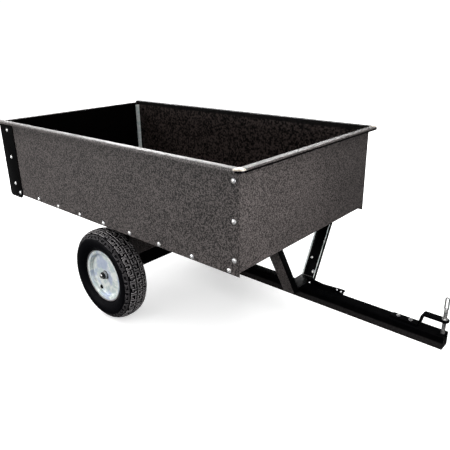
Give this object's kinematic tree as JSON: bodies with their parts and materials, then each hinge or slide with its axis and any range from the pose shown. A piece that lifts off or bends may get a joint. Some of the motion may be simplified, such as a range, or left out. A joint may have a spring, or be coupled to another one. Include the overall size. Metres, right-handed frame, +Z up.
{
  "type": "tow behind cart",
  "caption": "Steel tub dump cart on pneumatic wheels, with a lift-out tailgate, a foot-latched tilting drawbar and a clevis hitch with a pull-out pin.",
  "frame": {"origin": "on the ground, under the middle of the cart's overall box", "axes": "+X forward to the hitch, +Y to the cart's left, +Z up"},
  "size_m": [2.07, 0.9122, 0.807],
  "materials": {
    "hammertone": "fine hammered texture enamel, dark warm grey, satin",
    "black_paint": "gloss black enamel",
    "zinc_plate": "bright zinc plate",
    "galvanised": "galvanised pressed steel, faint blue-grey mottling",
    "tyre_rubber": "matt black tyre rubber",
    "bare_steel": "plain turned steel",
    "bronze": "sintered bronze"
  },
  "bodies": {
    "drawbar": {"drawbar": "black_paint", "pivot_plate_left": "black_paint", "pivot_plate_right": "black_paint", "tongue_bolt_rear": "zinc_plate", "tongue_bolt_front": "zinc_plate", "hitch_strap": "black_paint", "hitch_bolt_rear": "zinc_plate", "hitch_bolt_front": "zinc_plate", "latch_stud": "zinc_plate"},
    "tub": {"axle_beam": "black_paint", "axle_nut_left": "zinc_plate", "axle_nut_right": "zinc_plate", "axle_shaft": "bare_steel", "axle_washer_left": "zinc_plate", "axle_washer_right": "zinc_plate", "bolster": "hammertone", "brace_rail": "black_paint", "brace_saddle": "black_paint", "corner_bolt_left_1": "zinc_plate", "corner_bolt_left_2": "zinc_plate", "corner_bolt_left_3": "zinc_plate", "corner_bolt_right_1": "zinc_plate", "corner_bolt_right_2": "zinc_plate", "corner_bolt_right_3": "zinc_plate", "floor_pan": "hammertone", "front_panel": "hammertone", "hub_spacer_left": "bare_steel", "hub_spacer_right": "bare_steel", "post_bolt_left_1": "zinc_plate", "post_bolt_left_2": "zinc_plate", "post_bolt_left_3": "zinc_plate", "post_bolt_right_1": "zinc_plate", "post_bolt_right_2": "zinc_plate", "post_bolt_right_3": "zinc_plate", "rear_post_left": "black_paint", "rear_post_right": "black_paint", "side_panel_left": "hammertone", "side_panel_right": "hammertone", "tailgate_guide_left": "galvanised", "tailgate_guide_right": "galvanised", "v_brace_left": "hammertone", "v_brace_right": "hammertone"},
    "wheel_left": {"tyre_left": "tyre_rubber", "rim_barrel_left": "galvanised", "wheel_disc_left": "galvanised", "hub_tube_left": "bare_steel", "bushing_outer_left": "bronze", "bushing_inner_left": "bronze"},
    "wheel_right": {"tyre_right": "tyre_rubber", "rim_barrel_right": "galvanised", "wheel_disc_right": "galvanised", "hub_tube_right": "bare_steel", "bushing_outer_right": "bronze", "bushing_inner_right": "bronze"},
    "tailgate": {"tailgate": "hammertone"},
    "latch": {"latch_pedal": "black_paint", "latch_spring": "bare_steel", "foot_pad": "black_paint"},
    "hitch_pin": {"hitch_pin": "zinc_plate"}
  },
  "joints": [
    {"name": "tub_tilt", "type": "hinge", "parent": "drawbar", "child": "tub", "pos_m": [-0.264, 0, 0.203], "axis": [0, -1, 0], "range_deg": [0, 30]},
    {"name": "wheel_left_spin", "type": "hinge", "parent": "tub", "child": "wheel_left", "pos_m": [-0.264, 0.396, 0.203], "axis": [0, 1, 0], "continuous": true},
    {"name": "wheel_right_spin", "type": "hinge", "parent": "tub", "child": "wheel_right", "pos_m": [-0.264, -0.396, 0.203], "axis": [0, 1, 0], "continuous": true},
    {"name": "tailgate_slide", "type": "slide", "parent": "tub", "child": "tailgate", "axis": [0, 0, 1], "range_m": [0, 0.4]},
    {"name": "latch_press", "type": "hinge", "parent": "drawbar", "child": "latch", "pos_m": [0.535, 0.031, 0.212], "axis": [0, 1, 0], "range_deg": [0, 26], "stiffness_Nm_per_rad": 2, "springref_deg": -20.05},
    {"name": "hitch_pin_slide", "type": "slide", "parent": "drawbar", "child": "hitch_pin", "axis": [0, 0, 1], "range_m": [0, 0.12]}
  ]
}
